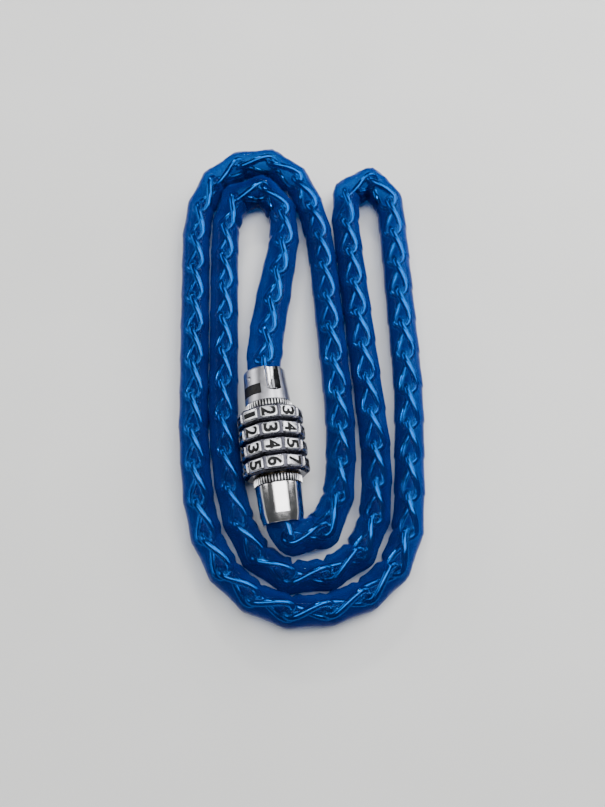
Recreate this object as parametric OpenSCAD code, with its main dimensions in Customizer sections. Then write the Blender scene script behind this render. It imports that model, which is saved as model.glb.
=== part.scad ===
// Four-dial combination chain lock: a steel chain in a clear blue vinyl sleeve, closed by a
// barrel lock. The lock's axis runs along Y, its collar points to +Y, and its dials rest on z = 0.

/* [Barrel] */
// Height of the lock's axis above the surface it lies on
axis_z = 10; // [9.5:0.1:11]
// Width of one dial and its gap, along the axis
dial_pitch = 5.2; // [5:0.1:5.4]
// Length of the collar above the upper knurled ring
collar_len = 11.2; // [11:0.1:12]
// Length of the plug's cap below its knurled ring
cap_len = 11.6; // [11.4:0.1:11.7]
// Radius of the collar and the cap at their open ends
end_r = 6.6; // [6.5:0.05:6.8]
// Radius of the collar and the cap beside the knurled rings
shoulder_r = 7.1; // [7:0.05:7.2]
// Radius of both knurled rings over their ribs
knurl_r = 7.4; // [7.3:0.05:7.6]
// Width of the upper knurled ring
upper_knurl_w = 2; // [1.8:0.1:2.2]
// Width of the plug's knurled ring
lower_knurl_w = 2.5; // [2.4:0.1:2.7]
// Number of grooves round each knurled ring
knurl_count = 48; // [36:1:60]

/* [Dials] */
// Distance from the axis to a dial's flat faces
dial_face_r = 9.5; // [9.3:0.1:9.5]
// Gap between neighbouring dials
dial_gap = 0.12; // [0.08:0.01:0.2]
// Size of a raised digit pad round the dial
pad_w = 5.3; // [5:0.1:5.5]
// Size of a raised digit pad along the axis
pad_h = 3.7; // [3.4:0.1:3.9]
// Bevel at each end of a dial
dial_bevel = 0.6; // [0.4:0.1:0.8]

/* [Code works] */
// Outer radius of the core tube that the dials turn on
core_r = 4.7; // [4.6:0.05:4.8]
// Radius of the bore that the bolt slides in
bolt_bore_r = 2.1; // [2.08:0.01:2.15]
// Radius of the bolt rod
bolt_r = 2; // [1.9:0.01:2.02]
// Radius over the bolt's lugs
lug_r = 5.8; // [5.6:0.05:5.9]
// Width of a bolt lug
lug_w = 1.5; // [1.4:0.05:1.55]
// Radial clearance of a code ring on the core tube
running_gap = 0.05; // [0.03:0.01:0.08]

/* [Chain and sleeve] */
// Outer diameter of the vinyl sleeve where it is free
sleeve_d = 11.6; // [10.6:0.1:11.8]
// Outer diameter of the sleeve where it goes into the lock
neck_d = 10.4; // [10.2:0.1:10.4]
// Wall of the vinyl sleeve
sleeve_wall = 1; // [0.8:0.1:1.1]
// Width of the sleeve where its runs are pressed together
packed_w = 9.2; // [9:0.1:9.3]
// Height of the sleeve where its runs are pressed together
packed_h = 11.4; // [11.2:0.1:11.5]
// Diameter of the chain's wire
wire_d = 2.3; // [2:0.1:2.3]
// Outer width of a chain link
link_w = 7.1; // [6.6:0.1:7.1]
// Number of chain links, an odd number
link_count = 79; // [79:2:81]

/* [Hidden] */

round_fn = 72;
small_fn = 32;
overcut = 0.2;

// Stations along the axis, from the middle of the dial stack
dial_count = 4;
dial_w = dial_pitch - dial_gap;
stack_half = dial_count * dial_pitch / 2;
washer_t = 0.3;
collar_y = stack_half + 0.4;
collar_step = collar_y + upper_knurl_w;
collar_end = collar_step + collar_len;
plug_y = -stack_half - 0.3;
plug_step = plug_y - lower_knurl_w;
cap_end = plug_step - cap_len;

// Sockets that hold the sleeve's ends, and the wider inner ends of the chain's chambers
socket_r = neck_d / 2 + 0.05;
socket_depth = 5;
chamber_r = 3.9;
chamber_depth = 4.5;
pin_r = 0.95;
pin_inset = 6;
end_bevel = 0.7;
cap_nose = 2.6;
notch_r = 4;
notch_angle = 22;

// Seats of the knurled rings
collar_boss_r = 6;
plug_recess_r = 6.5;
core_shank = 2.6;
core_tail = 1.6;

// Code rings
ring_r = 6.9;
land_w = 1.2;
chamber_ring_r = 6.1;
gate_w = 2.1;
slot_w = 1.8;
lug_len = 1.6;
lug_start = 2.4;
clip_t = 0.6;
clip_r = 6.2;
clip_seat_r = 3.9;
detent_count = 10;
detent_groove_w = 1.9;

// The cord's route from inside the collar to inside the cap, along the middle of the sleeve
route = [[0, 19, 10], [0, 28.5, 10], [3.3, 42, 7], [14.4, 79, 5.8],
         [12.4, 91.4, 5.8], [4, 97, 5.8], [-4.3, 92, 5.8], [-7, 81, 5.8],
         [-15, 9, 5.8], [-15, -12, 5.8], [-12.2, -28.5, 5.8], [-3.8, -39.7, 5.8],
         [9, -41.6, 5.8], [20.5, -38.3, 5.8], [28, -27, 5.8], [31.5, -6, 5.8],
         [34.8, 86, 5.8], [39.7, 94, 5.8], [46.7, 94, 5.8], [51.5, 86, 5.8],
         [45, 12, 5.8], [37, -33, 5.8], [27.5, -46.1, 5.8], [11, -51.4, 5.8],
         [-6, -49.1, 5.8], [-18.7, -38.3, 5.8], [-24.8, -21, 5.8], [-24.8, 5, 5.8],
         [-17, 82, 5.8], [-12.5, 97, 5.8], [-1, 106.5, 5.8], [14, 105.7, 5.8],
         [22.2, 93, 5.8], [25, 72, 5.8], [22, 6, 5.8], [18.6, -17, 5.8],
         [13, -28.2, 6.5], [5.4, -31.4, 9.2], [0, -29.4, 10], [0, -19.8, 10]];
corner_cut = 4;
sleeve_sides = 12;
// The sleeve is narrow in the lock's mouths, round beside it and pressed oval where it is packed
neck_len = 5.5;
start_run = 7;
end_run = 20;
free_start = 35;
free_end = 5;
press_run = 30;

// ---------- helpers ----------

// Stands children that were drawn along +Z at y0 along the lock's axis
module at_y(y0) {
    translate([0, y0, axis_z]) rotate([-90, 0, 0]) children();
}

// A body turned from [radius, height] points
module turned(profile) {
    rotate_extrude($fn = round_fn) polygon(profile);
}

module ring_of(r_out, r_in, h) {
    difference() {
        cylinder(r = r_out, h = h, $fn = round_fn);
        translate([0, 0, -overcut]) cylinder(r = r_in, h = h + 2 * overcut, $fn = round_fn);
    }
}

module knurled_ring(r_in, w) {
    groove_r = 0.3;
    difference() {
        turned([[r_in, 0], [knurl_r - 0.2, 0], [knurl_r, 0.2], [knurl_r, w - 0.2],
                [knurl_r - 0.2, w], [r_in, w]]);
        for (k = [0 : knurl_count - 1])
            rotate(k * 360 / knurl_count)
                translate([knurl_r + 0.1, 0, -overcut])
                    cylinder(r = groove_r, h = w + 2 * overcut, $fn = 16);
    }
}

// A rounded rectangle, its corners true arcs
module rounded_plate(w, h, t, r) {
    linear_extrude(t) union() {
        square([w - 2 * r, h], center = true);
        square([w, h - 2 * r], center = true);
        for (sx = [-1, 1], sy = [-1, 1])
            translate([sx * (w / 2 - r), sy * (h / 2 - r)]) circle(r = r, $fn = small_fn);
    }
}

// The upward side of the barrel, where the digits are read, is local -Y
module at_index() {
    rotate(-90) children();
}

// ---------- collar end ----------

// Sleeve socket, chain chamber and pin hole, from an open end at z = 0 going down
module cord_socket() {
    translate([0, 0, -socket_depth]) cylinder(r = socket_r, h = socket_depth + overcut, $fn = round_fn);
    translate([0, 0, -socket_depth - chamber_depth])
        cylinder(r = chamber_r, h = chamber_depth + overcut, $fn = round_fn);
    translate([-end_r - 2, 0, -pin_inset]) rotate([0, 90, 0])
        cylinder(r = pin_r, h = 2 * end_r + 4, $fn = small_fn);
}

// Where the collar's taper starts above its base, and a radius just over the taper at height z
collar_taper = collar_step - collar_y + 1.2;
function collar_r(z) = shoulder_r + 0.01
    - (shoulder_r - end_r) * (z - collar_taper) / (collar_end - collar_y - end_bevel - collar_taper);

module collar() {
    h = collar_end - collar_y;
    step = collar_step - collar_y;
    color("silver") at_y(collar_y) difference() {
        turned([[0, 0], [collar_boss_r, 0], [collar_boss_r, step], [shoulder_r, step],
                [shoulder_r, collar_taper], [end_r, h - end_bevel], [end_r - end_bevel / 2, h], [0, h]]);
        translate([0, 0, h]) cord_socket();
        translate([0, 0, -overcut]) cylinder(r = core_r, h = core_shank + overcut, $fn = round_fn);
        // The polished index flute, deepest at the open end
        at_index() rotate(notch_angle) translate([end_r + notch_r - 0.9, 0, h]) rotate([0, -6.5, 0])
            translate([0, 0, -8.5]) cylinder(r = notch_r, h = 12, $fn = round_fn);
        // The round dimple above the label
        at_index() rotate(-45) translate([end_r, 0, h - 3.2]) rotate([0, 90, 0])
            cylinder(r = 0.7, h = 2, center = true, $fn = small_fn);
    }
}

module upper_knurled_ring() {
    color("gainsboro") at_y(collar_y) knurled_ring(collar_boss_r, upper_knurl_w);
}

module collar_label() {
    label_t = 0.15;
    z0 = collar_taper + 1;
    z1 = z0 + 3.4;
    color("black") at_y(collar_y) at_index() rotate(-72)
        rotate_extrude(angle = 60, $fn = round_fn)
            polygon([[collar_r(z0), z0], [collar_r(z0) + label_t, z0],
                     [collar_r(z1) + label_t, z1], [collar_r(z1), z1]]);
}

module collar_pin() {
    color("dimgray") at_y(collar_end) translate([-end_r + 0.1, 0, -pin_inset]) rotate([0, 90, 0])
        cylinder(r = pin_r, h = 2 * end_r - 0.2, $fn = small_fn);
}

// ---------- core ----------

module core_tube() {
    low = -stack_half - core_tail;
    top = collar_y + core_shank;
    bore_len = stack_half + core_tail + collar_y;
    slot_len = core_tail + stack_half * 2 - dial_w + lug_start + lug_len + 0.4;
    color("darkgray") at_y(low) difference() {
        cylinder(r = core_r, h = top - low, $fn = round_fn);
        translate([0, 0, -overcut]) cylinder(r = bolt_bore_r, h = bore_len, $fn = round_fn);
        // The slot that the lugs slide along
        translate([-slot_w / 2, -core_r - 1, -overcut]) cube([slot_w, core_r + 1, slot_len + overcut]);
        // The seat of the retaining clip
        translate([0, 0, core_tail - clip_t - 0.1]) difference() {
            cylinder(r = core_r + 1, h = clip_t, $fn = round_fn);
            translate([0, 0, -overcut]) cylinder(r = clip_seat_r, h = clip_t + 2 * overcut, $fn = round_fn);
        }
        // The groove of the detent spring, opposite the slot
        translate([-detent_groove_w / 2, core_r - 1.1, core_tail + 0.05])
            cube([detent_groove_w, 2, 2 * stack_half - 0.35]);
    }
}

module friction_washer() {
    color("ivory") at_y(stack_half + 0.05) ring_of(ring_r - 0.3, core_r + running_gap, washer_t);
}

module retaining_clip() {
    color("dimgray") at_y(-stack_half - 0.1 - clip_t) difference() {
        ring_of(clip_r, clip_seat_r, clip_t);
        translate([-gate_w / 2, -clip_r - 1, -overcut]) cube([gate_w, clip_r + 1, clip_t + 2 * overcut]);
    }
}

module detent_spring() {
    strip_w = detent_groove_w - 0.2;
    strip_t = 0.3;
    strip_y = core_r - 1.1;
    bump_r = 0.55;
    color("lightsteelblue") at_y(-stack_half) {
        translate([-strip_w / 2, strip_y, 0.5]) cube([strip_w, strip_t, 2 * stack_half - 1]);
        for (k = [0 : dial_count - 1])
            translate([-strip_w / 2, core_r - 0.04 - bump_r, k * dial_pitch + dial_gap / 2 + land_w / 2])
                rotate([0, 90, 0]) intersection() {
                    cylinder(r = bump_r, h = strip_w, $fn = small_fn);
                    translate([-1, strip_y + 0.1 - core_r + 0.04 + bump_r, -1]) cube([2, 2, strip_w + 2]);
                }
    }
}

// ---------- dials ----------

function dial_y(n) = stack_half - n * dial_pitch + dial_gap / 2;

module dial(n) {
    corner_r = dial_face_r / cos(180 / detent_count);
    pad_top = axis_z - dial_face_r;
    color("dimgray") at_y(dial_y(n)) difference() {
        union() {
            intersection() {
                cylinder(r = corner_r, h = dial_w, $fn = detent_count);
                turned([[0, 0], [corner_r - dial_bevel, 0], [corner_r + 0.01, dial_bevel],
                        [corner_r + 0.01, dial_w - dial_bevel], [corner_r - dial_bevel, dial_w], [0, dial_w]]);
            }
            for (k = [0 : detent_count - 1])
                rotate(k * 360 / detent_count)
                    translate([0, -dial_face_r + overcut, dial_w / 2]) rotate([90, 0, 0])
                        rounded_plate(pad_w, pad_h, pad_top + overcut, 0.7);
        }
        translate([0, 0, -overcut]) cylinder(r = ring_r, h = dial_w + 2 * overcut, $fn = round_fn);
    }
}

module code_ring(n) {
    land_r = core_r + running_gap;
    scallop_r = 0.5;
    color("goldenrod") at_y(dial_y(n)) difference() {
        cylinder(r = ring_r, h = dial_w, $fn = round_fn);
        translate([0, 0, -overcut]) cylinder(r = land_r, h = dial_w, $fn = round_fn);
        translate([0, 0, land_w]) cylinder(r = chamber_ring_r, h = dial_w, $fn = round_fn);
        // The gate that lets the lug through
        translate([-gate_w / 2, -chamber_ring_r, -overcut]) cube([gate_w, chamber_ring_r, dial_w]);
        // The detent scallops, one for each digit
        for (k = [1 : detent_count - 1])
            rotate(k * 360 / detent_count)
                translate([0, -land_r, -overcut]) cylinder(r = scallop_r, h = dial_w, $fn = small_fn);
    }
}

// ---------- plug ----------

module plug_cap() {
    boss_h = 0.9;
    top = plug_step + boss_h;
    h = top - cap_end;
    color("silver") at_y(cap_end) difference() {
        turned([[0, 0], [end_r - end_bevel, 0], [end_r, cap_nose], [shoulder_r, h - boss_h - 0.8],
                [shoulder_r, h - boss_h], [plug_recess_r, h - boss_h], [plug_recess_r, h], [0, h]]);
        mirror([0, 0, 1]) cord_socket();
        translate([0, 0, socket_depth]) cylinder(r = bolt_r, h = h, $fn = round_fn);
    }
}

module plug_knurled_ring() {
    color("gainsboro") at_y(plug_step) knurled_ring(plug_recess_r, lower_knurl_w);
}

module cap_pin() {
    color("dimgray") at_y(cap_end) translate([-end_r + 0.1, 0, pin_inset]) rotate([0, 90, 0])
        cylinder(r = pin_r, h = 2 * end_r - 0.2, $fn = small_fn);
}

module bolt_rod() {
    tail = cap_end + socket_depth + chamber_depth;
    tip = stack_half - 0.2;
    color("lightgray") at_y(tail) {
        turned([[0, 0], [bolt_r, 0], [bolt_r, tip - tail - 1], [bolt_r - 0.8, tip - tail], [0, tip - tail]]);
        for (n = [1 : dial_count])
            translate([-lug_w / 2, -lug_r, dial_y(n) + lug_start - tail]) cube([lug_w, lug_r, lug_len]);
    }
}

// ---------- chain and sleeve ----------

function unit(v) = v / norm(v);
function toward(a, b, d) = a + unit(b - a) * min(d, 0.45 * norm(b - a));
function blended(points) = let (last = len(points) - 1) concat(
    [points[0]],
    [for (i = [1 : last - 1], j = [-1, 1]) toward(points[i], points[i + j], corner_cut)],
    [points[last]]);
function running_length(p) = [for (i = 0, s = 0; i < len(p);
    s = s + (i + 1 < len(p) ? norm(p[i + 1] - p[i]) : 0), i = i + 1) s];
function point_at(p, s, d) = [for (axis = [0 : 2])
    lookup(d, [for (i = [0 : len(p) - 1]) [s[i], p[i][axis]]])];

sleeve_line = blended(route);
sleeve_s = running_length(sleeve_line);
sleeve_len = sleeve_s[len(sleeve_s) - 1];

// How far the sleeve is pressed oval at a distance along it, from 0 to 1
function clamp01(x) = min(1, max(0, x));
function pressed(d) = clamp01((d - free_start) / press_run)
                    * clamp01((sleeve_len - free_end - d) / press_run);
function free_d(d) = neck_d
    + (sleeve_d - neck_d) * clamp01(min((d - neck_len) / start_run, (sleeve_len - d - neck_len) / end_run));
function half_w(d) = (free_d(d) + (packed_w - free_d(d)) * pressed(d)) / 2;
function half_h(d) = (free_d(d) + (packed_h - free_d(d)) * pressed(d)) / 2;

// The first and last two rings stand square to the lock's axis, inside and just outside its mouths
function tangent_at(p, i) = let (last = len(p) - 1)
    i < 2 ? unit(p[1] - p[0]) : i > last - 2 ? unit(p[last] - p[last - 1]) : unit(p[i + 1] - p[i - 1]);
function sleeve_ring(i, wall) =
    let (t = tangent_at(sleeve_line, i), side = unit(cross(t, [0, 0, 1])), up = cross(side, t),
         w = half_w(sleeve_s[i]) - wall, h = half_h(sleeve_s[i]) - wall)
    [for (k = [0 : sleeve_sides - 1])
        sleeve_line[i] + side * w * cos(k * 360 / sleeve_sides) + up * h * sin(k * 360 / sleeve_sides)];

module vinyl_sleeve() {
    rings = len(sleeve_line);
    n = sleeve_sides;
    inner = rings * n;
    points = concat([for (i = [0 : rings - 1]) each sleeve_ring(i, 0)],
                    [for (i = [0 : rings - 1]) each sleeve_ring(i, sleeve_wall)]);
    walls = [for (i = [0 : rings - 2], k = [0 : n - 1])
        let (a = i * n + k, b = i * n + (k + 1) % n, c = b + n, d = a + n)
        each [[a, b, c], [a, c, d], [inner + a, inner + c, inner + b], [inner + a, inner + d, inner + c]]];
    ends = [for (base = [0, (rings - 1) * n], k = [0 : n - 1])
        let (a = base + k, b = base + (k + 1) % n, flip = base > 0)
        each flip ? [[a, b, inner + b], [a, inner + b, inner + a]]
                  : [[a, inner + b, b], [a, inner + a, inner + b]]];
    color([0.03, 0.25, 0.75, 0.5]) polyhedron(points, concat(walls, ends));
}

// One link, lying along X about the origin in the XY plane
module link(inner_len) {
    bend_r = (link_w - wire_d) / 2;
    straight = inner_len + wire_d - 2 * bend_r;
    for (side = [-1, 1]) {
        translate([-straight / 2, side * bend_r, 0]) rotate([0, 90, 0])
            cylinder(r = wire_d / 2, h = straight, $fn = small_fn);
        translate([side * straight / 2, 0, 0]) rotate(side > 0 ? -90 : 90)
            rotate_extrude(angle = 180, $fn = small_fn)
                translate([bend_r, 0]) circle(r = wire_d / 2, $fn = small_fn);
    }
}

module chain_links() {
    slack = 0.25;
    // From the inner side of one cross pin to the inner side of the other
    line = concat([[0, collar_end - pin_inset - pin_r, axis_z]], sleeve_line,
                  [[0, cap_end + pin_inset + pin_r, axis_z]]);
    s = running_length(line);
    pitch = s[len(s) - 1] / link_count;
    color("lightsteelblue")
        for (i = [0 : link_count - 1]) {
            a = point_at(line, s, i * pitch);
            b = point_at(line, s, (i + 1) * pitch);
            v = b - a;
            translate((a + b) / 2)
                rotate([0, -asin(v[2] / norm(v)), atan2(v[1], v[0])])
                    rotate([i % 2 == 0 ? 90 : 0, 0, 0]) link(pitch + slack);
        }
}

collar();
upper_knurled_ring();
collar_label();
core_tube();
friction_washer();
dial(1);  // dial_1
dial(2);  // dial_2
dial(3);  // dial_3
dial(4);  // dial_4
code_ring(1);  // code_ring_1
code_ring(2);  // code_ring_2
code_ring(3);  // code_ring_3
code_ring(4);  // code_ring_4
detent_spring();
retaining_clip();
collar_pin();
plug_cap();
plug_knurled_ring();
bolt_rod();
cap_pin();
chain_links();
vinyl_sleeve();
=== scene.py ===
"""Looks of the four-dial combination chain lock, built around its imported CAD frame.

The lock's axis runs along Y, its collar points to +Y and everything rests on z = 0. Sizes and
places here are in millimetres, as in part.scad; MM turns them into metres.
"""

import math

import bmesh
import bpy
import numpy as np
from mathutils import Matrix, Vector, noise


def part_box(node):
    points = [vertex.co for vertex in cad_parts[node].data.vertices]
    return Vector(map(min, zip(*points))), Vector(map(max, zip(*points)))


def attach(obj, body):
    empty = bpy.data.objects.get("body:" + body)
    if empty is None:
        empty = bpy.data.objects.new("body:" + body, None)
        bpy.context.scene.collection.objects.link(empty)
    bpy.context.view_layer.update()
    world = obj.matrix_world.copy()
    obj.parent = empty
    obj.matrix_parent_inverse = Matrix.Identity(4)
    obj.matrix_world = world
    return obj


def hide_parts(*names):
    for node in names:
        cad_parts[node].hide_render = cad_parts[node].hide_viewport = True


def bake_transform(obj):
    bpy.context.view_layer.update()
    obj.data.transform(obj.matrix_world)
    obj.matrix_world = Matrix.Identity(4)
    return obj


MM = 0.001
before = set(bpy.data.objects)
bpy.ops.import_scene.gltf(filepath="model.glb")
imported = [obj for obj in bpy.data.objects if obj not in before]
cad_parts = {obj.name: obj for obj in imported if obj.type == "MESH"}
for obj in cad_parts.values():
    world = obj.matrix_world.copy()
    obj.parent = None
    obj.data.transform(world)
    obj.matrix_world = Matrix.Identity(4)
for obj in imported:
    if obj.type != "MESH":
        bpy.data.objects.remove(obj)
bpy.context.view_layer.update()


def span(node, axis):
    """Lowest and highest value of a CAD node along an axis, in millimetres."""
    low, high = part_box(node)
    return low[axis] / MM, high[axis] / MM


# ---------- sizes, from the frame ----------

AXIS_Z = sum(span("core_tube", 2)) / 2
COLLAR_BASE, COLLAR_END = span("collar", 1)
CAP_END, CAP_BASE = span("plug_cap", 1)
UPPER_RING = span("upper_knurled_ring", 1)
PLUG_RING = span("plug_knurled_ring", 1)
KNURL_R = (span("plug_knurled_ring", 0)[1] - span("plug_knurled_ring", 0)[0]) / 2
SHOULDER_R = (span("collar", 0)[1] - span("collar", 0)[0]) / 2
END_R = SHOULDER_R - 0.5
PIN_R = (span("cap_pin", 2)[1] - span("cap_pin", 2)[0]) / 2
PIN_INSET = COLLAR_END - sum(span("collar_pin", 1)) / 2
DIAL_SPANS = [span(f"dial_{n}", 1) for n in (1, 2, 3, 4)]
DIAL_W = DIAL_SPANS[0][1] - DIAL_SPANS[0][0]
PAD_R = AXIS_Z
AXIS = Vector((0, 0, AXIS_Z))


# ---------- camera ----------


def add_camera():
    """The photograph's viewpoint, above the dials and looking up the card."""
    data = bpy.data.cameras.new("camera")
    data.lens = 34.94
    data.clip_start = 0.01
    camera = bpy.data.objects.new("camera", data)
    bpy.context.scene.collection.objects.link(camera)
    forward, up = Vector((0.0361, 0.3309, -0.9430)), Vector((0.1299, 0.9340, 0.3327))
    turn = Matrix((forward.cross(up), up, -forward)).transposed()
    camera.matrix_world = Matrix.Translation(Vector((1.87, -68.93, 241.11)) * MM) @ turn.to_4x4()
    bpy.context.scene.camera = camera


add_camera()


# ---------- helpers for meshes ----------


def add_object(name, mesh, *materials):
    obj = bpy.data.objects.new(name, mesh)
    bpy.context.scene.collection.objects.link(obj)
    for material in materials:
        mesh.materials.append(material)
    return obj


def mesh_of(name, points, faces):
    """A mesh in metres from points in millimetres, with outward normals."""
    mesh = bpy.data.meshes.new(name)
    mesh.from_pydata([Vector(p) * MM for p in points], [], faces)
    work = bmesh.new()
    work.from_mesh(mesh)
    bmesh.ops.recalc_face_normals(work, faces=work.faces)
    work.to_mesh(mesh)
    work.free()
    return mesh


def ring_faces(rings, sides, start=0, wrap=False):
    """Quads between neighbouring rings of points; wrap joins the last ring to the first."""
    return [
        (
            start + i * sides + k,
            start + i * sides + (k + 1) % sides,
            start + (i + 1) % rings * sides + (k + 1) % sides,
            start + (i + 1) % rings * sides + k,
        )
        for i in range(rings if wrap else rings - 1)
        for k in range(sides)
    ]


def turned(name, profile, sides, radius=lambda angle, r, y: r):
    """A closed body turned about the lock's axis from [radius, y] points; radius may shape it."""
    points = []
    for r, y in profile:
        for k in range(sides):
            angle = 2 * math.pi * k / sides
            shaped = radius(angle, r, y)
            points.append((shaped * math.sin(angle), y, AXIS_Z + shaped * math.cos(angle)))
    return mesh_of(name, points, ring_faces(len(profile), sides, wrap=True))


def smooth(obj, degrees=35):
    """Smooth shading that stays sharp at edges steeper than this."""
    obj.data.polygons.foreach_set("use_smooth", [True] * len(obj.data.polygons))
    obj.data.set_sharp_from_angle(angle=math.radians(degrees))


def evaluated_mesh(obj):
    """A new mesh with the object's modifiers, or its text's outline, worked out."""
    depsgraph = bpy.context.evaluated_depsgraph_get()
    return bpy.data.meshes.new_from_object(obj.evaluated_get(depsgraph))


def cut(obj, *cutters):
    """Cuts other objects out of obj and removes them."""
    for cutter in cutters:
        modifier = obj.modifiers.new("cut", "BOOLEAN")
        modifier.operation = "DIFFERENCE"
        modifier.solver = "EXACT"
        modifier.use_self = True
        modifier.object = cutter
    bpy.context.view_layer.update()
    baked = evaluated_mesh(obj)
    obj.modifiers.clear()
    obj.data = baked
    for cutter in cutters:
        bpy.data.objects.remove(cutter)


def soften(obj, width, degrees=32, segments=2):
    """Rounds the edges of a metal part."""
    bevel = obj.modifiers.new("edges", "BEVEL")
    bevel.width = width * MM
    bevel.segments = segments
    bevel.limit_method = "ANGLE"
    bevel.angle_limit = math.radians(degrees)
    bevel.harden_normals = True


# ---------- materials ----------


class Nodes:
    """A material's node tree, with short calls for the nodes used here."""

    def __init__(self, name):
        self.material = bpy.data.materials.new(name)
        self.material.use_nodes = True
        self.tree = self.material.node_tree
        self.shader = self.tree.nodes["Principled BSDF"]

    def set(self, **values):
        for name, value in values.items():
            self.shader.inputs[name.replace("_", " ")].default_value = value
        return self

    def node(self, kind, **settings):
        made = self.tree.nodes.new(kind)
        for name, value in settings.items():
            setattr(made, name, value)
        return made

    def link(self, source, target):
        self.tree.links.new(source, target)

    def coordinates(self, stretch=(1, 1, 1)):
        """Object coordinates in millimetres, stretched along each axis."""
        scale = self.node("ShaderNodeMapping")
        scale.inputs["Scale"].default_value = [s / MM for s in stretch]
        self.link(self.node("ShaderNodeTexCoord").outputs["Object"], scale.inputs["Vector"])
        return scale.outputs["Vector"]

    def noise(self, size, detail=3, stretch=(1, 1, 1)):
        """Noise whose features are about size millimetres across."""
        made = self.node("ShaderNodeTexNoise")
        made.inputs["Scale"].default_value = 1 / size
        made.inputs["Detail"].default_value = detail
        self.link(self.coordinates(stretch), made.inputs["Vector"])
        return made.outputs["Fac"]

    def between(self, factor, low, high, start=0.35, end=0.65):
        """A number from low to high as factor goes from start to end."""
        made = self.node("ShaderNodeMapRange")
        ends = {"From Min": start, "From Max": end, "To Min": low, "To Max": high}
        for name, value in ends.items():
            made.inputs[name].default_value = value
        self.link(factor, made.inputs["Value"])
        return made.outputs["Result"]

    def colour(self, factor, first, second, start=0.35, end=0.65):
        ramp = self.node("ShaderNodeValToRGB")
        ramp.color_ramp.elements[0].position = start
        ramp.color_ramp.elements[0].color = (*first, 1)
        ramp.color_ramp.elements[1].position = end
        ramp.color_ramp.elements[1].color = (*second, 1)
        self.link(factor, ramp.inputs["Fac"])
        self.link(ramp.outputs["Color"], self.shader.inputs["Base Color"])

    def roughness(self, factor, low, high, start=0.35, end=0.65):
        self.link(self.between(factor, low, high, start, end), self.shader.inputs["Roughness"])

    def bump(self, height, depth):
        """Bump of the given depth in millimetres."""
        made = self.node("ShaderNodeBump")
        made.inputs["Distance"].default_value = depth * MM
        self.link(height, made.inputs["Height"])
        self.link(made.outputs["Normal"], self.shader.inputs["Normal"])


def metal(name, first, second, rough, grain=0.6, stretch=(1, 1, 1), depth=0.004):
    """Plated or bare metal: slight colour and roughness variation over a fine grain."""
    made = Nodes(name).set(Metallic=1.0)
    made.colour(made.noise(3.0, 4), first, second)
    made.roughness(made.noise(1.2, 5), *rough)
    made.bump(made.noise(grain, 4, stretch), depth)
    return made.material


def vinyl(name, opaque, tint, gloss):
    """Clear blue vinyl: a tinted see-through film that turns deeper towards its edges."""
    made = Nodes(name).set(Specular_IOR_Level=gloss)
    made.colour(made.noise(9.0, 2), (0.001, 0.021, 0.20), (0.002, 0.036, 0.29))
    made.roughness(made.noise(2.5, 4), 0.04, 0.10)
    made.bump(made.noise(2.2, 3), 0.05)
    clear = made.node("ShaderNodeBsdfTransparent")
    clear.inputs["Color"].default_value = (*tint, 1)
    edge = made.node("ShaderNodeLayerWeight")
    edge.inputs["Blend"].default_value = 0.35
    mix = made.node("ShaderNodeMixShader")
    made.link(made.between(edge.outputs["Facing"], *opaque, 0.1, 0.9), mix.inputs["Fac"])
    made.link(clear.outputs["BSDF"], mix.inputs[1])
    made.link(made.shader.outputs["BSDF"], mix.inputs[2])
    made.link(mix.outputs["Shader"], made.tree.nodes["Material Output"].inputs["Surface"])
    return made.material


def paint(name, first, second, rough):
    """Matt or semi-gloss dark paint and plastic."""
    made = Nodes(name).set(Specular_IOR_Level=0.15)
    made.colour(made.noise(0.8, 4), first, second)
    made.roughness(made.noise(0.5, 4), *rough)
    made.bump(made.noise(0.15, 3), 0.01)
    return made.material


SATIN = metal(
    "satin_chrome", (0.46, 0.46, 0.50), (0.53, 0.53, 0.57), (0.30, 0.38), 0.12, (1, 6, 1), 0.006
)
POLISHED = metal(
    "polished_chrome", (0.70, 0.69, 0.70), (0.77, 0.76, 0.76), (0.13, 0.20), 1.5, depth=0.010
)
# Near-black chrome for the flute's foot: painted shade
FLUTE_SHADE = metal("flute_shade", (0.10, 0.10, 0.11), (0.16, 0.16, 0.17), (0.10, 0.18), 1.0)
KNURLED = metal("knurled_chrome", (0.80, 0.80, 0.82), (0.86, 0.86, 0.87), (0.30, 0.38), 0.4)
DIAL = metal("dial_chrome", (0.60, 0.60, 0.64), (0.68, 0.68, 0.71), (0.24, 0.32), 0.5)
# Near-black chrome for the knurls' groove floors: painted shade in the grooves
GROOVE_SHADE = metal("knurl_groove_shade", (0.025, 0.025, 0.03), (0.05, 0.05, 0.055), (0.35, 0.5), 0.3)
# Dark chrome for the dial body between the pads: painted shade in the recess between them
DIAL_FIELD_SHADE = metal("dial_field_shade", (0.055, 0.055, 0.070), (0.095, 0.095, 0.115), (0.22, 0.32), 0.3)
CHAIN = metal("chain_steel", (0.70, 0.71, 0.72), (0.78, 0.78, 0.79), (0.07, 0.12), 0.5)
BLACK = paint("black_label", (0.010, 0.010, 0.011), (0.020, 0.020, 0.022), (0.35, 0.5))
DIGIT_BLACK = paint("digit_black", (0.006, 0.006, 0.007), (0.015, 0.015, 0.016), (0.4, 0.6))
VINYL = vinyl("blue_vinyl", (0.26, 0.86), (0.008, 0.40, 0.74), 0.08)
VINYL_INSIDE = vinyl("vinyl_inside", (0.0, 0.25), (0.75, 0.93, 0.98), 0.0)

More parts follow.
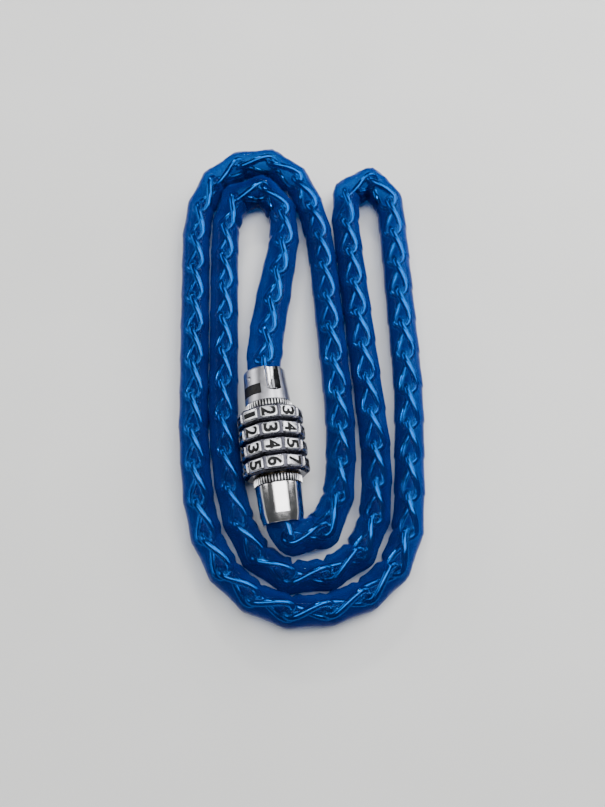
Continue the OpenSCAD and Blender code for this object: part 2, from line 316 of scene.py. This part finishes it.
CAD_MATERIALS = {
    "core_tube": metal("zinc_casting", (0.42, 0.42, 0.44), (0.52, 0.52, 0.53), (0.32, 0.48), 0.3),
    "friction_washer": paint("nylon", (0.72, 0.70, 0.62), (0.80, 0.78, 0.70), (0.35, 0.45)),
    "detent_spring": metal("spring_steel", (0.50, 0.52, 0.56), (0.58, 0.60, 0.63), (0.15, 0.25), 0.4),
    "retaining_clip": metal("clip_steel", (0.28, 0.28, 0.30), (0.36, 0.36, 0.38), (0.25, 0.35), 0.4),
    "collar_pin": metal("steel_pin", (0.42, 0.42, 0.44), (0.50, 0.50, 0.52), (0.25, 0.35), 0.3),
    "bolt_rod": metal("bolt_steel", (0.55, 0.55, 0.57), (0.62, 0.62, 0.63), (0.18, 0.30), 0.3),
}
CAD_MATERIALS["cap_pin"] = CAD_MATERIALS["collar_pin"]
BRASS = metal("brass_ring", (0.70, 0.50, 0.20), (0.78, 0.58, 0.26), (0.22, 0.32), 0.4)
for number in range(1, 5):
    CAD_MATERIALS[f"code_ring_{number}"] = BRASS


# ---------- the cord's route ----------

# The route from inside the collar to inside the cap, along the middle of the sleeve
ROUTE = [
    (0, 19, 10), (0, 28.5, 10), (3.3, 42, 7), (14.4, 79, 5.8),
    (12.4, 91.4, 5.8), (4, 97, 5.8), (-4.3, 92, 5.8), (-7, 81, 5.8),
    (-15, 9, 5.8), (-15, -12, 5.8), (-12.2, -28.5, 5.8), (-3.8, -39.7, 5.8),
    (9, -41.6, 5.8), (20.5, -38.3, 5.8), (28, -27, 5.8), (31.5, -6, 5.8),
    (34.8, 86, 5.8), (39.7, 94, 5.8), (46.7, 94, 5.8), (51.5, 86, 5.8),
    (45, 12, 5.8), (37, -33, 5.8), (27.5, -46.1, 5.8), (11, -51.4, 5.8),
    (-6, -49.1, 5.8), (-18.7, -38.3, 5.8), (-24.8, -21, 5.8), (-24.8, 5, 5.8),
    (-17, 82, 5.8), (-12.5, 97, 5.8), (-1, 106.5, 5.8), (14, 105.7, 5.8),
    (22.2, 93, 5.8), (25, 72, 5.8), (22, 6, 5.8), (18.6, -17, 5.8),
    (13, -28.2, 6.5), (5.4, -31.4, 9.2), (0, -29.4, 10), (0, -19.8, 10),
]
CORNER_CUT = 4
SLEEVE_D, NECK_D, PACKED_W, PACKED_H, SLEEVE_WALL = 11.6, 10.4, 9.4, 11.4, 0.4
NECK_LEN, START_RUN, END_RUN, FREE_START, FREE_END, PRESS_RUN = 5.5, 7, 20, 35, 5, 30
WIRE_D, LINK_W, END_LINK_W, LINK_COUNT, LINK_SLACK = 2.4, 8.0, 7.1, 79, 0.25


def blended(points):
    """The route with each corner cut, as in part.scad."""
    made = [points[0]]
    for before, here, after in zip(points, points[1:], points[2:]):
        for other in (before, after):
            step = other - here
            made.append(here + step.normalized() * min(CORNER_CUT, 0.45 * step.length))
    return made + [points[-1]]


class Line:
    """A line through points, read by distance along it."""

    def __init__(self, points):
        self.points = points
        self.at_point = [0.0]
        for a, b in zip(points, points[1:]):
            self.at_point.append(self.at_point[-1] + (b - a).length)
        self.length = self.at_point[-1]

    def at(self, distance):
        distance = min(max(distance, 0.0), self.length)
        for i in range(len(self.points) - 1):
            if distance <= self.at_point[i + 1]:
                share = (distance - self.at_point[i]) / (self.at_point[i + 1] - self.at_point[i])
                return self.points[i].lerp(self.points[i + 1], share)
        return self.points[-1]


def frame_along(direction):
    """The side and up vectors of a stretch that runs in this direction."""
    side = direction.cross(Vector((0, 0, 1))).normalized()
    return side, side.cross(direction)


route_line = blended([Vector(p) for p in ROUTE])
pin_line = Line([
    Vector((0, COLLAR_END - PIN_INSET - PIN_R, AXIS_Z)),
    *route_line,
    Vector((0, CAP_END + PIN_INSET + PIN_R, AXIS_Z)),
])
IN_LOCK = ROUTE[0][1] - pin_line.points[0].y
LINK_PITCH = pin_line.length / LINK_COUNT
JOINTS = [pin_line.at(i * LINK_PITCH) for i in range(LINK_COUNT + 1)]


def smoothstep(value):
    value = min(max(value, 0.0), 1.0)
    return value * value * (3 - 2 * value)


# pull_share gives how far a point of the sleeve or the chain would follow the plug as it is pulled:
# the straight runs below PULL_TOP stretch, the lower folds move whole, and the last stretch goes with
# the cap. Nothing here moves the points by it.
PULL_TOP, PULL_LOW = 30, -36
CAP_RUN = (70, 32)


def pull_share(y, distance):
    """How far a point follows the plug, from 0 to 1."""
    low = smoothstep((PULL_TOP - y) / (PULL_TOP - PULL_LOW))
    if distance < 0.12 * pin_line.length:
        low = 0.0
    left = pin_line.length - distance
    return max(low, smoothstep((CAP_RUN[0] - left) / (CAP_RUN[0] - CAP_RUN[1])))


def follow_plug(obj):
    """Bakes obj's placement into its mesh; obj is not bent between the barrel and the plug."""
    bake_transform(obj)


# ---------- sleeve ----------

SLEEVE_SIDES = 40
BEND_REACH = 0.26
CREASE, BUNCH, CORNER_SWELL, LINK_SWELL = 1.5, 0.8, 1.0, 0.13


def stations():
    """(distance, point, nearest joint) along the links, with each joint's corner rounded."""
    made = []
    for i in range(LINK_COUNT):
        a, b = JOINTS[i], JOINTS[i + 1]
        for share in (0.30, 0.37, 0.44, 0.5, 0.56, 0.63, 0.70):
            made.append(((i + share) * LINK_PITCH, a.lerp(b, share), i if share < 0.5 else i + 1))
        if i + 2 <= LINK_COUNT:
            reach = BEND_REACH * LINK_PITCH
            first = b - (b - a).normalized() * reach
            last = b + (JOINTS[i + 2] - b).normalized() * reach
            for t in (0.1, 0.25, 0.4, 0.5, 0.6, 0.75, 0.9):
                point = first * (1 - t) ** 2 + b * 2 * t * (1 - t) + last * t * t
                made.append(((i + 1) * LINK_PITCH + (2 * t - 1) * reach, point, i + 1))
    return made


def in_mouth(distance):
    """1 in the lock's mouths, where the sleeve keeps to the route, and 0 well away from them."""
    near = min(distance, pin_line.length - distance) - IN_LOCK
    return smoothstep((12 - near) / 5)


def turn_at(joint):
    """The signed bend at a joint, positive to the left, in radians."""
    if joint <= 0 or joint >= LINK_COUNT:
        return 0.0
    before, after = JOINTS[joint] - JOINTS[joint - 1], JOINTS[joint + 1] - JOINTS[joint]
    return math.atan2(before.cross(after).z, before.dot(after))


def clamp(value):
    return min(max(value, 0.0), 1.0)


def half_size(distance):
    """Half the sleeve's width and height at a distance along the pins' line."""
    start, left = distance - IN_LOCK, pin_line.length - IN_LOCK - distance
    widened = clamp(min((start - NECK_LEN) / START_RUN, (left - NECK_LEN) / END_RUN))
    free = NECK_D + (SLEEVE_D - NECK_D) * widened
    pressed = clamp((start - FREE_START) / PRESS_RUN) * clamp((left - FREE_END) / PRESS_RUN)
    return (free + (PACKED_W - free) * pressed) / 2, (free + (PACKED_H - free) * pressed) / 2


def link_phase(direction):
    """The roll of a link's near end: the chain lies so that each link stands at its upper end."""
    return math.radians(45 - 25 * direction.y / math.hypot(direction.x, direction.y))


def twisted(share):
    """How much of its quarter turn a link's wires have made, quickest at its middle."""
    share = clamp(share)
    return 0.6 * share + 0.2 * (1 + math.sin(math.pi * (share - 0.5)))


def bend_near(distance):
    """How sharply the chain bends near a distance along it, in radians."""
    joint = distance / LINK_PITCH
    low, share = int(joint), joint % 1
    return abs(turn_at(low)) * (1 - share) + abs(turn_at(low + 1)) * share


def sleeve_offset(angle, turn, past, wires, point, bend):
    """How far the sleeve stands out from its oval at an angle round it.

    turn is the chain's bend at the nearest joint and past the distance beyond it, wires is the
    angle of the link's wires, and bend is how sharply the chain bends near here.
    """
    inner = max(0.0, -math.cos(angle) * math.copysign(1, turn))
    outer = max(0.0, math.cos(angle) * math.copysign(1, turn))
    sharp = min(abs(turn), 0.9)
    crease = -CREASE * sharp * inner**1.5 * math.exp(-((past / 1.0) ** 2))
    bunch = BUNCH * sharp * inner * math.exp(-(((abs(past) - 2.8) / 1.2) ** 2))
    corner = CORNER_SWELL * sharp * outer * math.exp(-((past / 2.0) ** 2))
    over_links = LINK_SWELL * math.cos(2 * (angle - wires))
    ripple = 0.10 * noise.noise(point * 0.35) + bend * (
        0.55 * noise.noise(point * 0.5) + 0.35 * noise.noise(point * 1.1 + Vector((7, 3, 1)))
    )
    return crease + bunch + corner + over_links + ripple * (1 - 0.4 * outer)


def add_sleeve():
    low, high = IN_LOCK, pin_line.length - IN_LOCK
    rings = [s for s in stations() if low + 0.3 < s[0] < high - 0.3]
    rings = [(low, pin_line.at(low), 0), *rings, (high, pin_line.at(high), LINK_COUNT)]
    along = [point.lerp(pin_line.at(distance), in_mouth(distance)) for distance, point, _ in rings]
    points, shares = [], []
    for wall in (0.0, SLEEVE_WALL):
        for i, (distance, _, joint) in enumerate(rings):
            direction = (along[min(i + 1, len(along) - 1)] - along[max(i - 1, 0)]).normalized()
            side, up = frame_along(direction)
            w, h = half_size(distance)
            past = distance - joint * LINK_PITCH
            wires = link_phase(direction) + math.pi / 2 * twisted((distance / LINK_PITCH) % 1)
            for k in range(SLEEVE_SIDES):
                angle = 2 * math.pi * k / SLEEVE_SIDES
                out = side * math.cos(angle) * w + up * math.sin(angle) * h
                point = along[i] + out
                bend = bend_near(distance)
                offset = sleeve_offset(angle, turn_at(joint), past, wires, point, bend)
                point = point + out.normalized() * (offset * (1 - in_mouth(distance)) - wall)
                point.z = max(point.z, 0.02 + wall)
                points.append(point)
                shares.append(pull_share(along[i].y, distance))
    count = len(rings)
    outside = ring_faces(count, SLEEVE_SIDES)
    faces = outside + ring_faces(count, SLEEVE_SIDES, count * SLEEVE_SIDES)
    for ring in (0, count - 1):
        for k in range(SLEEVE_SIDES):
            a, b = ring * SLEEVE_SIDES + k, ring * SLEEVE_SIDES + (k + 1) % SLEEVE_SIDES
            faces.append((a, b, b + count * SLEEVE_SIDES, a + count * SLEEVE_SIDES))
    sleeve = add_object("sleeve_tube", mesh_of("sleeve_tube", points, faces), VINYL, VINYL_INSIDE)
    for face in sleeve.data.polygons[len(outside):]:
        face.material_index = 1
    smooth(sleeve, 60)
    follow_plug(sleeve)
    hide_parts("vinyl_sleeve")
    return sleeve, along


# ---------- chain ----------


def link_points(start_twist, end_twist, width):
    """Points of one twisted link about the origin, lying along X, as rings round its wire."""
    bend_r = (width - WIRE_D) / 2
    straight = LINK_PITCH + LINK_SLACK + WIRE_D - 2 * bend_r
    outline = []
    for end in (1, -1):
        outline += [(end * (-straight / 2 + straight * t / 10), -end * bend_r) for t in range(10)]
        arc = [math.radians(-90 + 180 * t / 12) for t in range(12)]
        outline += [
            (end * (straight / 2 + bend_r * math.cos(a)), end * bend_r * math.sin(a)) for a in arc
        ]

    def angle_at(x):
        return start_twist + (end_twist - start_twist) * twisted(x / LINK_PITCH + 0.5)

    centres = [
        Vector((x, b * math.cos(angle_at(x)), b * math.sin(angle_at(x)))) for x, b in outline
    ]
    rings, sides = [], 12
    for i, (centre, (x, _)) in enumerate(zip(centres, outline)):
        tangent = (centres[(i + 1) % len(centres)] - centres[i - 1]).normalized()
        normal = Vector((0, -math.sin(angle_at(x)), math.cos(angle_at(x))))
        across = tangent.cross(normal).normalized()
        normal = across.cross(tangent)
        for k in range(sides):
            angle = 2 * math.pi * k / sides
            out = across * math.cos(angle) + normal * math.sin(angle)
            rings.append(centre + out * WIRE_D / 2)
    return rings, ring_faces(len(centres), sides, wrap=True)


def add_chain():
    points, faces, shares = [], [], []
    for i in range(LINK_COUNT):
        a, b = JOINTS[i], JOINTS[i + 1]
        direction = (b - a).normalized()
        side, up = frame_along(direction)
        place = Matrix((direction, side, up)).transposed()
        at_pin = i in (0, LINK_COUNT - 1)
        start = math.radians(90) if at_pin else link_phase(direction)
        end = start if at_pin else start + math.radians(90)
        rings, quads = link_points(start, end, END_LINK_W if at_pin else LINK_W)
        base = len(points)
        faces += [tuple(base + k for k in quad) for quad in quads]
        for p in rings:
            points.append(a.lerp(b, 0.5) + place @ p)
            y = (a + (b - a) * (p.x / LINK_PITCH + 0.5)).y
            shares.append(pull_share(y, (i + 0.5) * LINK_PITCH + p.x))
    chain = add_object("twisted_chain", mesh_of("twisted_chain", points, faces), CHAIN)
    smooth(chain, 80)
    follow_plug(chain)
    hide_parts("chain_links")
    return chain


sleeve, sleeve_path = add_sleeve()
chain = add_chain()


# ---------- collar and cap ----------

TURNED_SIDES = 144
SOCKET_R, SOCKET_DEPTH, CHAMBER_R, CHAMBER_DEPTH = 5.25, 5.0, 3.9, 4.5
# The seats of the core tube and the knurled rings, and the bores that the bolt passes
CORE_R, CORE_TOP, BOSS_R, RECESS_R = 4.75, 13.45, 6.0, 6.5
COLLAR_BORE_R, CAP_BORE_R = 2.2, 2.05
# The collar is straight above its ring and then tapers to its mouth
COLLAR_STRAIGHT = 1.2
FLUTE_R, FLUTE_LEN, FLUTE_DEPTH, FLUTE_ANGLE, FLUTE_TILT = 3.5, 8.6, 1.1, 22, -1.5
FLUTE_NOSE = 1.4
DIMPLE_R, DIMPLE_ANGLE, DIMPLE_FROM_END = 0.75, -45, 3.2
LABEL_ARC = (-72, -12)


def round_up(angle):
    """Turns a shape about the lock's axis, clockwise from the top as seen from the cap."""
    return Matrix.Translation(AXIS * MM) @ Matrix.Rotation(math.radians(angle), 4, "Y")


def round_cutter(radius, length, nose, place):
    """A round cutter along Z from -nose to length; nose rounds its lower end."""
    steps, sides = 8, 64
    quarter = [math.radians(90 * k / steps) for k in range(1, steps + 1)]
    profile = [(radius * math.sin(turn), -nose * math.cos(turn)) for turn in quarter]
    profile += [(radius, length * k / 12) for k in range(1, 13)]
    points = [
        (r * math.cos(2 * math.pi * k / sides), r * math.sin(2 * math.pi * k / sides), z)
        for r, z in profile
        for k in range(sides)
    ]
    faces = ring_faces(len(profile), sides)
    faces += [tuple(range(sides)), tuple(range(len(points) - sides, len(points)))]
    mesh = mesh_of("cutter", points, faces)
    mesh.transform(place)
    return add_object("cutter", mesh)


def add_collar():
    step = UPPER_RING[1]
    inner_end = COLLAR_END - SOCKET_DEPTH
    profile = [
        (CORE_R, COLLAR_BASE), (BOSS_R, COLLAR_BASE), (BOSS_R, step), (SHOULDER_R - 0.15, step),
        (SHOULDER_R, step + 0.15), (SHOULDER_R, step + COLLAR_STRAIGHT),
        (END_R + 0.03, COLLAR_END - 0.75), (END_R - 0.05, COLLAR_END - 0.35),
        (END_R - 0.35, COLLAR_END), (SOCKET_R + 0.25, COLLAR_END),
        (SOCKET_R, COLLAR_END - 0.25), (SOCKET_R, inner_end),
        (CHAMBER_R, inner_end), (CHAMBER_R, inner_end - CHAMBER_DEPTH),
        (COLLAR_BORE_R, inner_end - CHAMBER_DEPTH), (COLLAR_BORE_R, CORE_TOP), (CORE_R, CORE_TOP),
    ]
    body = turned("collar_body", profile, TURNED_SIDES)
    collar = add_object("collar_body", body, SATIN, POLISHED, FLUTE_SHADE)
    flute_foot = (0, COLLAR_END - FLUTE_LEN + FLUTE_NOSE, END_R + FLUTE_R - FLUTE_DEPTH)
    flute = round_cutter(
        FLUTE_R,
        FLUTE_LEN + 4,
        FLUTE_NOSE,
        round_up(FLUTE_ANGLE)
        @ Matrix.Translation(Vector(flute_foot) * MM)
        @ Matrix.Rotation(math.radians(-90 + FLUTE_TILT), 4, "X"),
    )
    dimple_foot = Vector((0, COLLAR_END - DIMPLE_FROM_END, END_R - 0.1)) * MM
    dimple = round_cutter(DIMPLE_R, 1.0, 0.3, round_up(DIMPLE_ANGLE) @ Matrix.Translation(dimple_foot))
    cut(collar, flute, dimple)
    polish_flute(collar)
    smooth(collar)
    soften(collar, 0.09)
    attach(collar, "barrel")
    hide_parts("collar")


def polish_flute(collar):
    """Gives the flute's faces their polished, bright side and a dark foot of painted shade: they lie
    inside the outline.
    """
    turn = round_up(FLUTE_ANGLE).to_3x3()
    toward, across = turn @ Vector((0, 0, 1)), turn @ Vector((1, 0, 0))
    for face in collar.data.polygons:
        centre = face.center / MM - AXIS
        radial = Vector((centre.x, 0, centre.z))
        taper = (COLLAR_END - centre.y) / (COLLAR_END - UPPER_RING[1] - COLLAR_STRAIGHT)
        full = END_R + (SHOULDER_R - END_R) * taper
        on_side = radial.normalized().dot(toward) > 0.8
        inside = SOCKET_R + 0.1 < radial.length < min(full, SHOULDER_R) - 0.04
        if on_side and inside and face.normal.dot(toward) > 0.5:
            # The dark faces are painted shade at the flute's foot
            dark = radial.dot(across) > 1.7 - 0.42 * (COLLAR_END - centre.y)
            face.material_index = 2 if dark else 1


def add_cap():
    inner_end = CAP_END + SOCKET_DEPTH
    profile = [
        (SOCKET_R, CAP_END + 0.25), (SOCKET_R + 0.25, CAP_END), (END_R - 0.75, CAP_END),
        (END_R - 0.65, CAP_END + 0.08), (END_R - 0.03, CAP_END + 2.5),
        (END_R + 0.02, CAP_END + 2.8), (SHOULDER_R, PLUG_RING[0] - 0.8),
        (SHOULDER_R, PLUG_RING[0] - 0.15), (SHOULDER_R - 0.15, PLUG_RING[0]),
        (RECESS_R, PLUG_RING[0]), (RECESS_R, CAP_BASE), (CAP_BORE_R, CAP_BASE),
        (CAP_BORE_R, inner_end + CHAMBER_DEPTH), (CHAMBER_R, inner_end + CHAMBER_DEPTH),
        (CHAMBER_R, inner_end), (SOCKET_R, inner_end),
    ]
    cap = add_object("cap_body", turned("cap_body", profile, TURNED_SIDES), POLISHED)
    smooth(cap, 22)
    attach(cap, "plug")
    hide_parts("plug_cap")


def add_knurled_ring(name, node, body, inner_r, ends):
    """A ring with rounded ribs all round; its groove floors are near-black chrome, painted shade."""
    ribs, per_rib, groove = 48, 10, 0.45
    low, high = ends

    def radius(angle, r, y):
        if r < KNURL_R - 1:
            return r
        across = abs((angle * ribs / (2 * math.pi)) % 1 - 0.5) * 2
        return r - groove * smoothstep((across - 0.25) / 0.3)

    profile = [
        (inner_r, low), (KNURL_R - 0.42, low), (KNURL_R - 0.1, low + 0.12),
        (KNURL_R, low + 0.32), (KNURL_R, high - 0.32),
        (KNURL_R - 0.1, high - 0.12), (KNURL_R - 0.42, high), (inner_r, high),
    ]
    ring = add_object(name, turned(name, profile, ribs * per_rib, radius), KNURLED, GROOVE_SHADE)
    # The groove floors take the near-black chrome: painted shade
    for face in ring.data.polygons:
        centre = face.center / MM - AXIS
        face.material_index = 1 if 0.25 < KNURL_R - math.hypot(centre.x, centre.z) < 1 else 0
    smooth(ring, 50)
    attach(ring, body)
    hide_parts(node)


def add_label():
    """The plain black label, wrapped on the collar's left side."""
    low, high = span("collar_label", 1)
    (start, end), steps = LABEL_ARC, 32
    points = []
    for y in (low, high):
        taper = (y - UPPER_RING[1] - COLLAR_STRAIGHT) / (COLLAR_END - UPPER_RING[1] - 2)
        on = SHOULDER_R - 0.05 - (SHOULDER_R - END_R) * taper
        for r in (on - 0.1, on + 0.12):
            for k in range(steps + 1):
                angle = math.radians(start + (end - start) * k / steps)
                points.append((r * math.sin(angle), y, AXIS_Z + r * math.cos(angle)))
    row = steps + 1
    faces = []
    for a, b in ((0, 1), (1, 3), (3, 2), (2, 0)):
        faces += [
            (a * row + k, a * row + k + 1, b * row + k + 1, b * row + k) for k in range(steps)
        ]
    faces += [(0, row, 3 * row, 2 * row), (steps, row + steps, 3 * row + steps, 2 * row + steps)]
    label = add_object("label_plate", mesh_of("label_plate", points, faces), BLACK)
    smooth(label)
    soften(label, 0.05)
    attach(label, "barrel")
    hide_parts("collar_label")


# ---------- dials ----------

DIGIT_UP = (2, 3, 4, 6)
PAD_L, PAD_W, PAD_CORNER, PAD_BEVEL = 5.15, 3.6, 0.7, 0.26
FACE_R, BORE_R = 9.5, 6.9
DIGIT_H, DIGIT_W, DIGIT_DEPTH = 4.45, 2.85, 0.18


def decagon(angle, r, y):
    """The radius of a ten-sided outline with flats at apothem r; the bore stays round."""
    if r <= BORE_R:
        return r
    flat = math.radians(36)
    return r / math.cos((angle + flat / 2) % flat - flat / 2)


def dial_body():
    half = DIAL_W / 2
    profile = [
        (BORE_R, -half), (FACE_R - 0.75, -half), (FACE_R - 0.12, -half + 0.42),
        (FACE_R, -half + 0.62), (FACE_R, half - 0.62),
        (FACE_R - 0.12, half - 0.42), (FACE_R - 0.75, half), (BORE_R, half),
    ]
    return turned("dial_body", profile, 80, decagon)


def rounded_outline(length, width, corner, steps=6):
    """Points round a rounded rectangle centred on the origin."""
    points = []
    for sx, sy, start in ((1, 1, 0), (-1, 1, 90), (-1, -1, 180), (1, -1, 270)):
        for k in range(steps + 1):
            angle = math.radians(start + 90 * k / steps)
            points.append((
                sx * (length / 2 - corner) + corner * math.cos(angle),
                sy * (width / 2 - corner) + corner * math.sin(angle),
            ))
    return points


def pad():
    """One raised pad on top of the dial, with its wide bevel."""
    rims = (
        (0, FACE_R - 0.2), (0, PAD_R - 0.27), (0.06, PAD_R - 0.2),
        (PAD_BEVEL - 0.05, PAD_R - 0.03), (PAD_BEVEL + 0.04, PAD_R),
    )
    points = []
    for inset, height in rims:
        outline = rounded_outline(PAD_L - 2 * inset, PAD_W - 2 * inset, PAD_CORNER - 0.6 * inset)
        points += [(x, y, AXIS_Z + height) for x, y in outline]
    sides = len(points) // len(rims)
    faces = ring_faces(len(rims), sides)
    faces += [tuple(range(sides)), tuple(range(len(points) - sides, len(points)))]
    return mesh_of("pad", points, faces)


def digit_solid(digit, bottom, top):
    """A numeral's prism between two heights over the axis, its top toward +X."""
    text = bpy.data.curves.new("numeral", "FONT")
    text.body = str(digit)
    text.offset = 0.04
    text.resolution_u = 6
    text.extrude = 0.5
    holder = add_object("numeral", text)
    mesh = evaluated_mesh(holder)
    bpy.data.objects.remove(holder)
    co = np.array([v.co for v in mesh.vertices])
    low, high = co.min(0), co.max(0)
    width = DIGIT_W * (0.55 if digit == 1 else 1.0)
    scale = Matrix.Diagonal((
        width * MM / (high[0] - low[0]), DIGIT_H * MM / (high[1] - low[1]), (top - bottom) * MM, 1
    ))
    centre = Vector((-(low[0] + high[0]) / 2, -(low[1] + high[1]) / 2, 0))
    mesh.transform(
        Matrix.Translation(Vector((0, 0, AXIS_Z + (top + bottom) / 2)) * MM)
        @ Matrix.Rotation(math.radians(-90), 4, "Z")
        @ scale
        @ Matrix.Translation(centre)
    )
    work = bmesh.new()
    work.from_mesh(mesh)
    bmesh.ops.remove_doubles(work, verts=work.verts, dist=1e-6)
    bmesh.ops.recalc_face_normals(work, faces=work.faces)
    work.to_mesh(mesh)
    work.free()
    return mesh


def join(name, meshes, *materials):
    """One mesh from (mesh, material index) pairs."""
    work = bmesh.new()
    for mesh, index in meshes:
        before = len(work.faces)
        work.from_mesh(mesh)
        work.faces.ensure_lookup_table()
        for face in work.faces[before:]:
            face.material_index = index
    made = bpy.data.meshes.new(name)
    work.to_mesh(made)
    work.free()
    for material in materials:
        made.materials.append(material)
    return made


def about_axis(mesh, degrees, y=0.0):
    """A copy of a mesh turned about the lock's axis and moved along it."""
    made = mesh.copy()
    made.transform(
        Matrix.Translation(Vector((0, y, AXIS_Z)) * MM)
        @ Matrix.Rotation(math.radians(degrees), 4, "Y")
        @ Matrix.Translation(-AXIS * MM)
    )
    return made


def add_dials():
    body = dial_body()
    solid, inlays = [(body, 0)], []
    for digit in range(10):
        plate = add_object("pad", pad())
        cutter = add_object("cutter", digit_solid(digit, PAD_R - DIGIT_DEPTH, PAD_R + 0.3))
        cut(plate, cutter)
        solid.append((about_axis(plate.data, 36 * digit), 1))
        inlay = digit_solid(digit, PAD_R - 0.25, PAD_R - DIGIT_DEPTH + 0.06)
        inlays.append((about_axis(inlay, 36 * digit), 0))
        bpy.data.objects.remove(plate)
    dial = join("dial_master", solid)
    marks = join("marks_master", inlays)
    for n, (ends, up) in enumerate(zip(DIAL_SPANS, DIGIT_UP), 1):
        body_name = ("first", "second", "third", "fourth")[n - 1] + "_dial"
        middle = sum(ends) / 2
        # The dial body takes the dark chrome, painted shade, and the pads take the bright dial chrome
        ring = add_object(f"dial_ring_{n}", about_axis(dial, -36 * up, middle), DIAL_FIELD_SHADE, DIAL)
        smooth(ring, 30)
        digits = add_object(f"dial_digits_{n}", about_axis(marks, -36 * up, middle), DIGIT_BLACK)
        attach(ring, body_name)
        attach(digits, body_name)
        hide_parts(f"dial_{n}")


add_collar()
add_cap()
add_knurled_ring("upper_ring", "upper_knurled_ring", "barrel", BOSS_R, UPPER_RING)
add_knurled_ring("plug_ring", "plug_knurled_ring", "plug", RECESS_R, PLUG_RING)
add_label()
add_dials()

for node, material in CAD_MATERIALS.items():
    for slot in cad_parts[node].material_slots:
        slot.material = material


# ---------- floor and light ----------


def add_floor():
    made = Nodes("floor").set(Roughness=0.6)
    made.colour(made.noise(60.0, 2), (0.84, 0.84, 0.82), (0.87, 0.87, 0.85))
    size = 1500
    points = [(-size, -size, 0), (size, -size, 0), (size, size, 0), (-size, size, 0)]
    add_object("floor", mesh_of("floor", points, [(0, 1, 2, 3)]), made.material)


def add_lamp(name, place, target, size, power, colour=(1, 1, 1)):
    data = bpy.data.lights.new(name, "AREA")
    data.shape = "RECTANGLE"
    data.size, data.size_y = (s * MM for s in size)
    data.energy = power
    data.color = colour
    lamp = bpy.data.objects.new(name, data)
    bpy.context.scene.collection.objects.link(lamp)
    lamp.location = Vector(place) * MM
    lamp.rotation_mode = "QUATERNION"
    lamp.rotation_quaternion = (Vector(place) - Vector(target)).to_track_quat("Z", "Y")


def add_world(strength):
    world = bpy.data.worlds.new("studio")
    bpy.context.scene.world = world
    world.use_nodes = True
    background = world.node_tree.nodes["Background"]
    background.inputs["Color"].default_value = (0.9, 0.95, 1.0, 1)
    background.inputs["Strength"].default_value = strength


add_floor()
add_world(0.08)
add_lamp("overhead", (165, 45, 900), (165, 45, 0), (1175, 390), 9.0)
add_lamp("overhead_right", (528, 530, 900), (528, 530, 0), (455, 580), 5.2)
add_lamp("right_window", (542, 339, 285), (0, 0, 10), (440, 280), 2.4)
add_lamp("left_window", (-542, 339, 285), (0, 0, 10), (440, 280), 1.4)
add_lamp("back_light", (60, 800, 550), (0, 30, 0), (150, 80), 2.0)
